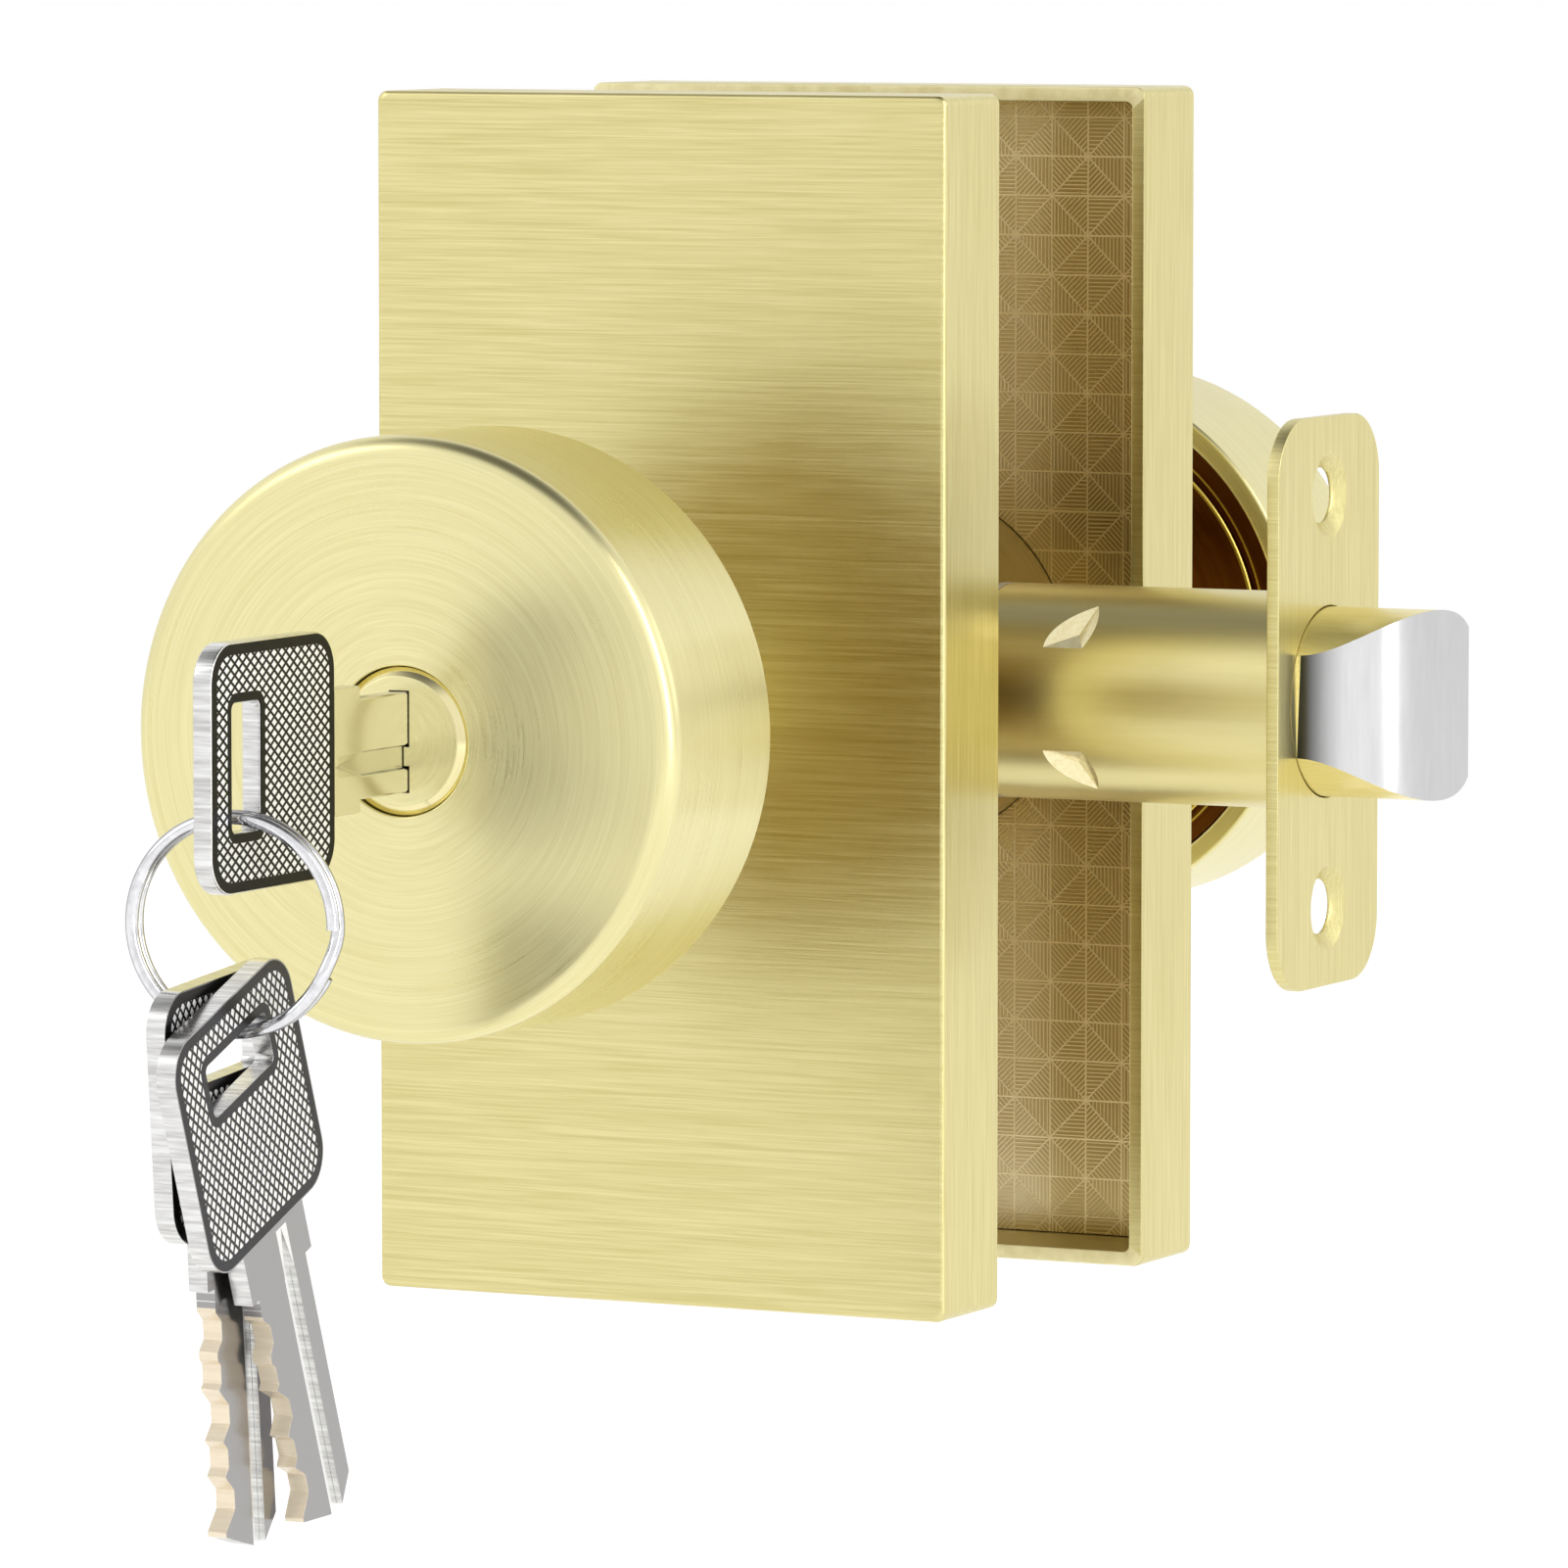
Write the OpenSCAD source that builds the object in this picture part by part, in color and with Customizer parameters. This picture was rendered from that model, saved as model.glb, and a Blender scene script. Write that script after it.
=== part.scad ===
// Keyed entry knob lock with a spring latch, for a hinged door.
// The origin is where the knob axis (Y) crosses the latch axis (X), at mid door.
// +X points at the door's edge, -Y at the keyed outside and +Z up.

/* [Door] */
// Thickness of the door that the two rosettes clamp
door_t = 35; // [33:0.5:45]
// Distance from the knob axis to the outer face of the faceplate
backset = 60; // [60:1:75]

/* [Rosettes] */
// Width of each rectangular rosette
rosette_w = 63.5; // [52:0.5:90]
// Height of each rosette
rosette_h = 121.5; // [90:0.5:160]
// Depth of each rosette, from its rim to its front
rosette_d = 12.7; // [11:0.1:18]
// Wall of the pressed rosette
rosette_wall = 1.5; // [1:0.1:2.5]
// Radius of the rosette's four upright corners
rosette_r = 1; // [0.6:0.1:4]
// Thickness of the patterned liner plate
liner_t = 0.5; // [0.4:0.1:1]

/* [Spring housings] */
// Length of the housing behind the rosette's front wall
housing_l = 16; // [14.5:0.5:18]
// Side wall of the housing
housing_wall = 1; // [0.8:0.1:1.5]
// Floor of the housing, which takes the bolt heads
housing_floor = 4; // [3.5:0.1:5]
// Wall of the bearing nose that fills the rosette's hole
nose_wall = 2; // [1.6:0.1:3]
// Outer radius of the threaded posts
post_r = 2.8; // [2.5:0.1:3.4]
// Radius of the through bolts
screw_r = 1.95; // [1.6:0.05:2.3]
// Radius of the wire of the knobs' torsion springs
coil_wire_r = 0.4; // [0.3:0.05:0.5]

/* [Knobs] */
// Diameter of the round knobs
knob_d = 58.4; // [45:0.2:70]
// Depth of the knob body, back to front
knob_depth = 21; // [19:0.5:28]
// Gap between the rosette's front and the knob's back
knob_gap = 33.3; // [26:0.1:45]
// Side wall of the knob shell
knob_wall = 2.2; // [1.5:0.1:3]
// Radius of the knob's front edge
knob_edge_r = 1.8; // [1:0.1:2.2]
// Outer radius of the knob's neck
neck_r = 10; // [8:0.1:12]
// Wall of the neck tube
neck_wall = 1.7; // [1.2:0.1:2]
// Side of the square spindle
spindle_w = 8; // [7:0.1:8.4]
// Wall of the hollow spindle
spindle_wall = 1.2; // [0.8:0.1:1.4]

/* [Cylinder and keys] */
// Least wall of the plug beside its keyway
plug_wall = 1.13; // [0.9:0.01:1.3]
// How far the plug's face is wider than its body
plug_rim = 0.95; // [0.6:0.05:1.5]
// How far the plug's face stands out of the knob
plug_proud = 0.2; // [0:0.1:0.6]
// Length of the key's bow
bow_l = 23.8; // [20:0.2:30]
// Width of the key's bow
bow_w = 23.4; // [20:0.2:28]
// Corner radius of the key's bow
bow_r = 3.8; // [2:0.1:6]
// Thickness of the key
key_t = 2; // [1.6:0.1:2.4]
// Distance from the bow's outer end to the ring slot
slot_in = 4; // [3.5:0.1:5]
// Length of the ring slot along the key
slot_l = 5.3; // [5:0.1:6]
// Width of the ring slot across the key
slot_w = 12.1; // [11:0.1:14]
// Length of the key's shoulder
shoulder_l = 5; // [4:0.1:6]
// Width of the key's shoulder
shoulder_w = 12.1; // [10.5:0.1:12.6]
// Length of the key's blade
blade_l = 25.6; // [21:0.1:30]
// Width of the key's blade
blade_w = 9.6; // [8:0.1:11]
// How far the key's bow stands from the plug's face
key_out = 14.5; // [5.5:0.1:15]

/* [Key ring] */
// Radius of the ring to the middle of its wire
ring_r = 10; // [9:0.05:12]
// Radius of the ring's wire
wire_r = 0.65; // [0.5:0.05:0.7]
// Turn of the ring's plane about the upright axis
ring_turn = 8; // [0:1:12]
// Lean of the front spare key from the upright
lean_a = 21; // [10:1:24]
// Lean of the rear spare key from the upright
lean_b = 5; // [0:1:12]

/* [Latch] */
// Gap between the bolt and the inside of the tube
tube_gap = 0.475; // [0.3:0.025:0.8]
// Wall of the latch tube
tube_wall = 0.9; // [0.7:0.05:1]
// Distance from the knob axis to the tube's inner end
tube_x = 25; // [25:0.5:26]
// Diameter of the latch bolt
bolt_d = 19.05; // [17:0.05:21]
// Throw of the latch bolt
bolt_throw = 12.7; // [10:0.1:13]
// Length of the bolt behind the faceplate's outer face
bolt_tail = 12.7; // [10:0.1:13]
// Distance from the bolt's middle to its flat
bolt_flat = 5.8; // [5.4:0.1:6.2]
// Turn of the knob that draws the bolt in fully
knob_turn = 75; // [72:1:85]
// Width of the faceplate
plate_w = 25.4; // [24:0.1:28]
// Height of the faceplate
plate_h = 57.15; // [54:0.05:64]
// Thickness of the faceplate
plate_t = 1.3; // [1:0.1:2]
// Corner radius of the faceplate
plate_r = 6.35; // [2:0.05:8]
// Distance between the faceplate's two screw holes
plate_pitch = 41.3; // [38:0.1:46]
// Diameter of the faceplate's screw holes
plate_hole_d = 5.5; // [4:0.1:6]
// Diameter of the countersinks
plate_sink_d = 8.6; // [7.5:0.1:9.5]

/* [Clearances] */
// Radial gap of a shaft that turns in its bearing
run_gap = 0.05; // [0.03:0.01:0.1]
// Radial gap of the bolt in its faceplate
bolt_gap = 0.1; // [0.05:0.01:0.1]
// Gap of a fixed piece in its seat
seat_gap = 0.1; // [0.05:0.05:0.2]
// Gap between loose pieces that pass each other
free_gap = 0.3; // [0.2:0.05:0.4]

/* [Hidden] */

$fn = 64;
eps = 0.01;

// Planes along Y, measured outward from mid door
rim_y = door_t / 2;
front_y = rim_y + rosette_d;
floor_y = front_y - rosette_wall;
housing_y = floor_y - housing_l;
bearing_y = floor_y - housing_floor;
nose_y = front_y + free_gap;
knob_back_y = front_y + knob_gap;
knob_front_y = knob_back_y + knob_depth;
knob_inner_y = knob_front_y - knob_wall;
cover_t = 1.5;
cover_y = knob_back_y + 0.4;
flange_t = 1.6;
flange_y = cover_y + cover_t;
flange_r = neck_r + 4;
core_r = neck_r + 1;
core_y = flange_y + flange_t;

// Arms of the cam, which swing inside the posts
tip_r = 1.1;
cam_r = bolt_throw / (2 * sin(knob_turn / 2));

// Spring housings and the bolts through them
cap_t = 0.8;
nose_r = neck_r + nose_wall;
post_z = max(neck_r + 2 * coil_wire_r + 0.6, cam_r + tip_r + free_gap) + post_r;
cavity_r = post_z + post_r + 0.25;
housing_r = cavity_r + housing_wall;
screw_head_r = post_r + 0.1;
head_t = 2.4;
post_end_y = 6;
bolt_end_y = -10;

// Neck, its web and its retaining ring
web_t = 4;
neck_y = housing_y + cap_t;
neck_bore_r = neck_r - neck_wall;
groove_r = neck_r - 1;
coil_gap = 0.25;
coil_r = neck_r + coil_wire_r + coil_gap;
retainer_r = post_z - post_r - free_gap / 2;
retainer_t = 0.9;
retainer_y = bearing_y - seat_gap - retainer_t;

// Cylinder, key and tailpiece
keyway_t = key_t + 2 * seat_gap;
keyway_w = blade_w + 2 * seat_gap;
plug_r = norm([keyway_t, keyway_w]) / 2 + plug_wall;
plug_face_r = plug_r + plug_rim;
plug_y = knob_front_y + plug_proud;
plug_floor = 2;
plug_end_y = plug_y - blade_l - plug_floor - 0.6;
barrel_y = plug_end_y + 1.5;
barrel_r = neck_bore_r - seat_gap;
key_y = -(plug_y + key_out + bow_l);
key_l = bow_l + shoulder_l + blade_l;
key_cuts = [1, 0.5, 1.7, 1.1, 1.9];
cut_pitch = (blade_l - 4) / (len(key_cuts) + 0.3);
groove_w = 2.2;
groove_d = 0.6;
groove_v = 0.3;
tail_w = 4.4;
tail_t = 1.2;
tail_end_y = 28;
stem_r = 3.5;
stem_y = tail_end_y - 6;
button_r = 7.5;
button_t = 2;

// Key ring, hung in the inserted key's slot, and the two keys on it
hook_gap = 2 * wire_r + 0.1;
hook_y = key_y + slot_in + slot_l / 2 - 0.6;
hook_z = -slot_w / 2 + hook_gap;
ring_z = hook_z - ring_r;
hook_u = slot_in + hook_gap;
key_pitch = key_t + 0.8;
hook_v = slot_w / 2 - 2 * wire_r - free_gap - (key_pitch + key_t) / 2 * tan(ring_turn);

// Latch
plate_x = backset - plate_t;
bolt_r = bolt_d / 2;
tube_bore_r = bolt_r + tube_gap;
tube_r = tube_bore_r + tube_wall;
nose_y0 = bolt_flat - 1.13;
bolt_rear_x = backset - bolt_tail;
bolt_flange_t = 1.5;
collar_l = 4;
case_y = 5.6;
case_t = 1;
case_z = sqrt(pow(tube_r, 2) - pow(case_y, 2)) - seat_gap;
case_x = -24.5;
hub_r = 6.8;
journal_r = 6;
lug_gap = 0.4;
fork_y0 = -3.9;
fork_t = 1.5;
fork_z = hub_r + 0.5;
fork_bar = 2;
lug_x = bolt_throw / 2 - tip_r - lug_gap;
lug_z = cam_r * cos(knob_turn / 2) - 0.3;
lug_top_z = post_z - post_r - lug_gap;
lug_w = 1.7;
fork_x = lug_x + bolt_throw + 2.8;
plunger_out = 8;
plunger_l = 9.5;
plunger_y = bolt_flat + 0.15;
spring_y = 2.5;
spring_r = 3.6;

// Local +Z becomes +Y, with local +Y pointing down
module toward_y(y) { translate([0, y, 0]) rotate([-90, 0, 0]) children(); }

// Local +Z becomes +X
module toward_x(x) { translate([x, 0, 0]) rotate([0, 90, 0]) children(); }

// The outside of the door is the inside's mirror image
module outside() { mirror([0, 1, 0]) children(); }

// Rectangle with four round corners, centred
module rounded_rect(w, h, r) {
    square([w - 2 * r, h], center = true);
    square([w, h - 2 * r], center = true);
    for (sx = [-1, 1], sy = [-1, 1])
        translate([sx * (w / 2 - r), sy * (h / 2 - r)]) circle(r);
}

// Ring or disc about the knob axis, from one plane to another
module collar(y0, y1, r, bore = 0) {
    toward_y(y0) difference() {
        cylinder(r = r, h = y1 - y0);
        if (bore > 0) translate([0, 0, -1]) cylinder(r = bore, h = y1 - y0 + 2);
    }
}

// Coil of round wire about +Z, starting at z = 0
module coil(r, wire, length, turns, steps = 14, sides = 6) {
    n = ceil(turns * steps);
    rise = length - 2 * wire;
    points = [for (i = [0:n], k = [0:sides - 1])
        let (a = 360 * turns * i / n, b = 360 * k / sides, q = r + wire * cos(b))
        [q * cos(a), q * sin(a), wire + rise * i / n + wire * sin(b)]];
    walls = [for (i = [0:n - 1], k = [0:sides - 1])
        let (m = (k + 1) % sides, p = i * sides, q = p + sides)
        each [[p + k, q + k, q + m], [p + k, q + m, p + m]]];
    start = [for (k = [0:sides - 1]) sides - 1 - k];
    end = [for (k = [0:sides - 1]) n * sides + k];
    polyhedron(points, concat(walls, [start], [end]), convexity = 10);
}

// Square tray open toward the door, with a round hole for the bearing nose
module rosette() {
    inner_r = max(rosette_r - rosette_wall, 0.5);
    toward_y(rim_y) difference() {
        linear_extrude(rosette_d) rounded_rect(rosette_w, rosette_h, rosette_r);
        translate([0, 0, -1]) linear_extrude(rosette_d - rosette_wall + 1)
            rounded_rect(rosette_w - 2 * rosette_wall, rosette_h - 2 * rosette_wall, inner_r);
        cylinder(r = nose_r + seat_gap, h = rosette_d + 1);
    }
}

// Thin plate on the tray's floor, round the housing
module liner() {
    inset = rosette_wall + seat_gap;
    toward_y(floor_y - liner_t) difference() {
        linear_extrude(liner_t)
            rounded_rect(rosette_w - 2 * inset, rosette_h - 2 * inset, 0.6);
        translate([0, 0, -1]) cylinder(r = housing_r + seat_gap, h = liner_t + 2);
    }
}

// Round can with the knob's bearing in its nose
module housing() {
    toward_y(housing_y) difference() {
        union() {
            cylinder(r = housing_r, h = housing_l);
            cylinder(r = nose_r, h = nose_y - housing_y);
        }
        translate([0, 0, -1]) cylinder(r = cavity_r, h = bearing_y - housing_y + 1);
        cylinder(r = neck_r + run_gap, h = nose_y - housing_y + 1);
        for (s = [-1, 1]) translate([0, s * post_z, 0]) {
            cylinder(r = screw_r + seat_gap, h = housing_l + 1);
            translate([0, 0, housing_l - head_t]) cylinder(r = screw_head_r + seat_gap, h = head_t + 1);
        }
    }
}

// Plate that closes the housing toward the door
module housing_cap(hole_r) {
    toward_y(housing_y) difference() {
        cylinder(r = cavity_r - seat_gap, h = cap_t);
        translate([0, 0, -1]) cylinder(r = neck_r + free_gap, h = cap_t + 2);
        for (s = [-1, 1]) translate([0, s * post_z, -1]) cylinder(r = hole_r + seat_gap, h = cap_t + 2);
    }
}

// Torsion spring wound round the neck, which turns the knob back
module knob_spring() {
    length = retainer_y - neck_y - 2 * seat_gap;
    toward_y(neck_y + seat_gap) coil(coil_r, coil_wire_r, length, 6, 20);
}

// Cup with a rounded front edge and a round hole in its front
module knob_shell(hole_r) {
    knob_r = knob_d / 2;
    toward_y(knob_back_y) difference() {
        rotate_extrude($fn = 96) {
            square([knob_r - knob_edge_r, knob_depth]);
            square([knob_r, knob_depth - knob_edge_r]);
            translate([knob_r - knob_edge_r, knob_depth - knob_edge_r]) circle(knob_edge_r);
        }
        translate([0, 0, -1]) cylinder(r = knob_r - knob_wall, h = knob_depth - knob_wall + 1, $fn = 96);
        cylinder(r = hole_r, h = knob_depth + 1);
    }
}

// Round cover that closes the knob's back, round the neck
module knob_back() {
    collar(cover_y, cover_y + cover_t, knob_d / 2 - knob_wall - free_gap, neck_r + seat_gap);
}

// Neck tube with a flange in the knob and a web with a square hole at its end
module neck() {
    toward_y(neck_y) difference() {
        union() {
            cylinder(r = neck_r, h = core_y - neck_y);
            translate([0, 0, flange_y - neck_y]) cylinder(r = flange_r, h = flange_t);
        }
        translate([0, 0, web_t]) cylinder(r = neck_bore_r, h = core_y);
        translate([0, 0, -1]) linear_extrude(web_t + 2) square(spindle_w + 2 * run_gap, center = true);
        translate([0, 0, retainer_y - neck_y - seat_gap]) difference() {
            cylinder(r = neck_r + 1, h = retainer_t + 2 * seat_gap);
            translate([0, 0, -1]) cylinder(r = groove_r, h = retainer_t + 3);
        }
    }
}

// Snap ring in the neck's groove, which keeps the neck in its bearing
module retainer() {
    toward_y(retainer_y) difference() {
        cylinder(r = retainer_r, h = retainer_t);
        translate([0, 0, -1]) cylinder(r = groove_r + seat_gap, h = retainer_t + 2);
        translate([0, -2, -1]) cube([retainer_r + 1, 4, retainer_t + 2]);
    }
}

// One blade cut: a flat bottom with two sloping flanks
module key_cut(depth) {
    flat = 0.9;
    polygon([[-flat - depth, -1], [-flat - depth, 0], [-flat, depth], [flat, depth],
        [flat + depth, 0], [flat + depth, -1]]);
}

// Key outline, from the bow's outer end along +X, with its cuts on the -Y edge
module key_outline() {
    blade_u = bow_l + shoulder_l;
    difference() {
        union() {
            translate([bow_l / 2, 0]) rounded_rect(bow_l, bow_w, bow_r);
            translate([bow_l - 1, -shoulder_w / 2]) square([shoulder_l + 1, shoulder_w]);
            translate([blade_u - 1, 0]) polygon([[0, -blade_w / 2], [blade_l - 1, -blade_w / 2],
                [blade_l + 1, 0.5], [blade_l + 1, 2.5], [blade_l - 1.3, blade_w / 2], [0, blade_w / 2]]);
        }
        translate([slot_in + slot_l / 2, 0]) rounded_rect(slot_l, slot_w, 0.7);
        for (i = [0:len(key_cuts) - 1])
            translate([blade_u + cut_pitch * (i + 1), -blade_w / 2]) key_cut(key_cuts[i]);
    }
}

// Pointed groove that runs to the blade's tip
module key_groove() {
    end = shoulder_l + blade_l + 2;
    translate([bow_l + 0.6, groove_v]) polygon([[0, groove_w / 2], [5, 0], [end, 0],
        [end, groove_w], [5, groove_w]]);
}

// Whole key in the YZ plane, its bow's outer end at y = 0 and its blade toward +Y
module key() {
    rotate([90, 0, 90]) difference() {
        translate([0, 0, -key_t / 2]) linear_extrude(key_t) key_outline();
        for (s = [0, 1]) mirror([0, 0, s]) translate([0, 0, key_t / 2 - groove_d])
            linear_extrude(1) key_groove();
    }
}

// Key that hangs on the ring's lowest point by its slot
module hanging_key(x, lean, v) {
    translate([x, hook_y, ring_z - ring_r]) rotate([lean - 90, 0, 0])
        translate([0, -hook_u, -v]) key();
}

// Threaded post fixed in the exterior housing
module post(s) {
    translate([0, 0, s * post_z]) toward_y(-bearing_y) difference() {
        cylinder(r = post_r, h = bearing_y + post_end_y);
        translate([0, 0, 2]) cylinder(r = screw_r + run_gap, h = bearing_y + post_end_y);
    }
}

// Through bolt whose head sits in the interior housing's floor
module through_bolt(s) {
    translate([0, 0, s * post_z]) toward_y(bolt_end_y) {
        cylinder(r = screw_r, h = floor_y - head_t / 2 - bolt_end_y);
        translate([0, 0, floor_y - head_t - bolt_end_y]) difference() {
            cylinder(r = screw_head_r, h = head_t - seat_gap);
            translate([0, 0, 1]) cylinder(r = 1.5, h = 3, $fn = 6);
        }
    }
}

module exterior_rosette() { color("khaki") outside() rosette(); }
module interior_rosette() { color("khaki") rosette(); }
module exterior_liner() { color("tan") outside() liner(); }
module interior_liner() { color("tan") liner(); }
module exterior_housing() { color("darkkhaki") outside() housing(); }
module interior_housing() { color("darkkhaki") housing(); }
module exterior_cap() { color("goldenrod") outside() housing_cap(post_r); }
module interior_cap() { color("goldenrod") housing_cap(screw_r); }
module exterior_spring() { color("silver") outside() knob_spring(); }
module interior_spring() { color("silver") knob_spring(); }
module upper_post() { color("darkgoldenrod") post(1); }
module lower_post() { color("darkgoldenrod") post(-1); }
module upper_bolt() { color("silver") through_bolt(1); }
module lower_bolt() { color("silver") through_bolt(-1); }
module exterior_knob_shell() { color("khaki") outside() knob_shell(plug_face_r + 0.15); }
module interior_knob_shell() { color("khaki") knob_shell(stem_r + seat_gap); }
module exterior_knob_back() { color("peru") outside() knob_back(); }
module interior_knob_back() { color("peru") knob_back(); }
module exterior_neck() { color("khaki") outside() neck(); }
module interior_neck() { color("khaki") neck(); }
module exterior_retainer() { color("gray") outside() retainer(); }
module interior_retainer() { color("gray") retainer(); }

// Core between the interior neck's flange and the knob's front
module interior_core() {
    color("darkkhaki") collar(core_y, knob_inner_y, core_r, stem_r + run_gap);
}

// Hollow square bar through the cam, fixed in the exterior neck
module spindle() {
    half = neck_y + web_t;
    color("silver") toward_y(-half) difference() {
        linear_extrude(2 * half) square(spindle_w, center = true);
        translate([0, 0, -1]) linear_extrude(2 * half + 2)
            square(spindle_w - 2 * spindle_wall, center = true);
    }
}

// Fixed barrel of the lock cylinder, with the pin tower above the plug
module cylinder_housing() {
    tower_w = 6;
    tower_h = core_r + 5;
    color("goldenrod") outside() toward_y(barrel_y) difference() {
        union() {
            cylinder(r = barrel_r, h = knob_inner_y - barrel_y);
            translate([0, 0, core_y - barrel_y]) cylinder(r = core_r, h = knob_inner_y - core_y);
            translate([-tower_w / 2, -tower_h, core_y - barrel_y]) cube([tower_w, tower_h, knob_inner_y - core_y]);
        }
        translate([0, 0, -1]) cylinder(r = plug_r + run_gap, h = plug_y);
    }
}

// Plug with the keyway through it and a slot for the tailpiece in its end
module cylinder_plug() {
    color("khaki") outside() toward_y(plug_end_y) difference() {
        union() {
            cylinder(r = plug_r, h = plug_y - plug_end_y);
            translate([0, 0, knob_inner_y - plug_end_y + seat_gap])
                cylinder(r = plug_face_r, h = plug_y - knob_inner_y - seat_gap);
        }
        translate([0, 0, plug_floor]) linear_extrude(plug_y) square([keyway_t, keyway_w], center = true);
        translate([0, 0, -1]) linear_extrude(4) square([tail_t + seat_gap, tail_w + seat_gap], center = true);
    }
}

// Flat bar that carries the plug's turn through the spindle
module tailpiece() {
    color("silver") toward_y(-plug_end_y - 1.5)
        linear_extrude(plug_end_y + 1.5 + tail_end_y) square([tail_t, tail_w], center = true);
}

// Key in the plug with its cuts up
module inserted_key() {
    color("lightgray") translate([0, key_y, 0]) rotate([0, 180, 0]) key();
}

// Split ring of two turns of round wire
module key_ring() {
    color("silver") translate([0, hook_y, ring_z]) rotate([0, 0, ring_turn]) rotate([90, 0, 0])
        rotate_extrude($fn = 72) for (s = [-1, 1]) translate([ring_r, s * (wire_r - 0.02)]) circle(wire_r, $fn = 24);
}

module spare_key_a() { color("lightgray") hanging_key(key_pitch / 2, lean_a, hook_v); }
module spare_key_b() { color("lightgray") hanging_key(-key_pitch / 2, lean_b, hook_v / 6); }

// Round privacy button with a thumb bar
module turn_button() {
    color("khaki") toward_y(knob_front_y + free_gap) {
        cylinder(r = button_r, h = button_t);
        translate([-1.6, -button_r + 0.8, 0]) cube([3.2, 2 * button_r - 1.6, 8]);
    }
}

// Shaft from the privacy button to the tailpiece
module button_stem() {
    color("silver") toward_y(stem_y) difference() {
        cylinder(r = stem_r, h = knob_front_y + free_gap - stem_y);
        translate([0, 0, -1]) linear_extrude(tail_end_y - stem_y + 2)
            square([tail_t + 0.2, tail_w + 0.2], center = true);
    }
}

// Tube that fills the bore in the door's edge
module latch_tube() {
    color("khaki") toward_x(tube_x) difference() {
        cylinder(r = tube_r, h = plate_x - tube_x);
        translate([0, 0, -1]) cylinder(r = tube_bore_r, h = plate_x);
    }
}

// Plate with round ends' corners, the bolt's hole and two countersunk screw holes
module latch_faceplate() {
    sink = (plate_sink_d - plate_hole_d) / 2;
    color("khaki") toward_x(plate_x) difference() {
        linear_extrude(plate_t) rounded_rect(plate_h, plate_w, plate_r);
        translate([0, 0, -1]) cylinder(r = bolt_r + bolt_gap, h = plate_t + 2);
        for (s = [-1, 1]) translate([s * plate_pitch / 2, 0, 0]) {
            translate([0, 0, -1]) cylinder(d = plate_hole_d, h = plate_t + 2);
            translate([0, 0, plate_t - min(sink, plate_t * 0.8)])
                cylinder(d1 = plate_hole_d, d2 = plate_sink_d, h = min(sink, plate_t * 0.8) + eps);
        }
    }
}

// Two side plates that carry the cam, and the collar that the tube is crimped on
module latch_case() {
    color("silver") difference() {
        union() {
            for (s = [-1, 1]) translate([case_x, s * (case_y - case_t / 2) - case_t / 2, -case_z])
                cube([tube_x - case_x - 0.5, case_t, 2 * case_z]);
            translate([case_x, -case_y, -4]) cube([case_t, 2 * case_y, 8]);
            toward_x(tube_x - 1) cylinder(r = tube_r, h = 1);
            toward_x(tube_x - 1) cylinder(r = tube_bore_r - seat_gap, h = collar_l + 1);
        }
        toward_y(-case_y - 1) cylinder(r = journal_r + run_gap, h = 2 * case_y + 2);
        translate([tube_x - 2, fork_y0 - free_gap, -4 - free_gap])
            cube([collar_l + 3, fork_t + 2 * free_gap, 8 + 2 * free_gap]);
    }
}

// Hub with two arms and a square hole, which draws the bolt by its lugs
module latch_cam() {
    arm = knob_turn / 2;
    color("darkgoldenrod") difference() {
        union() {
            toward_y(-case_y) cylinder(r = journal_r, h = 2 * case_y);
            toward_y(-4.4) cylinder(r = hub_r, h = 8.8);
            toward_y(-1.6) linear_extrude(3.2) for (s = [0, 1]) mirror([0, s]) rotate(arm) {
                translate([-tip_r + lug_gap, -cam_r]) square([2 * (tip_r - lug_gap), cam_r]);
                translate([0, -cam_r]) circle(tip_r);
            }
        }
        toward_y(-case_y - 1) linear_extrude(2 * case_y + 2) square(spindle_w + 2 * run_gap, center = true);
    }
}

// Round bolt with a flat side and a quarter-round nose
module latch_bolt() {
    body_x = bolt_rear_x + bolt_flange_t;
    color("khaki") {
        intersection() {
            toward_x(body_x - 1) cylinder(r = bolt_r, h = 60);
            translate([0, 0, -bolt_r - 1]) linear_extrude(2 * bolt_r + 2) {
                translate([body_x - eps, -bolt_r - 1])
                    square([backset - body_x + eps, bolt_r + 1 + bolt_flat]);
                translate([backset - eps, nose_y0]) square([bolt_throw + eps, bolt_flat - nose_y0]);
                intersection() {
                    translate([backset, nose_y0]) circle(bolt_throw, $fn = 128);
                    translate([backset - 1, -20]) square([bolt_throw + 2, 20 + nose_y0]);
                }
            }
        }
        toward_x(bolt_rear_x) cylinder(r = bolt_r - 0.2, h = bolt_flange_t);
    }
}

// Strip behind the bolt that forks round the cam's hub, with a lug for each arm
module bolt_stem() {
    fork_h = fork_z + fork_bar;
    color("silver") {
        translate([fork_x, fork_y0, -4]) cube([bolt_rear_x - fork_x, fork_t, 8]);
        translate([fork_x, fork_y0, -fork_h]) cube([fork_bar, fork_t, 2 * fork_h]);
        for (s = [0, 1]) mirror([0, 0, s]) {
            translate([lug_x - lug_w, fork_y0, fork_z]) cube([fork_x - lug_x + lug_w + 1, fork_t, fork_bar]);
            translate([lug_x - lug_w, fork_y0, lug_z]) cube([lug_w, 2 - fork_y0, lug_top_z - lug_z]);
        }
    }
}

// Spring between the case's collar and the bolt
module bolt_spring() {
    x0 = tube_x + collar_l;
    color("gray") translate([0, spring_y, 0]) toward_x(x0)
        coil(spring_r, 0.45, bolt_rear_x - x0, 6);
}

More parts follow.
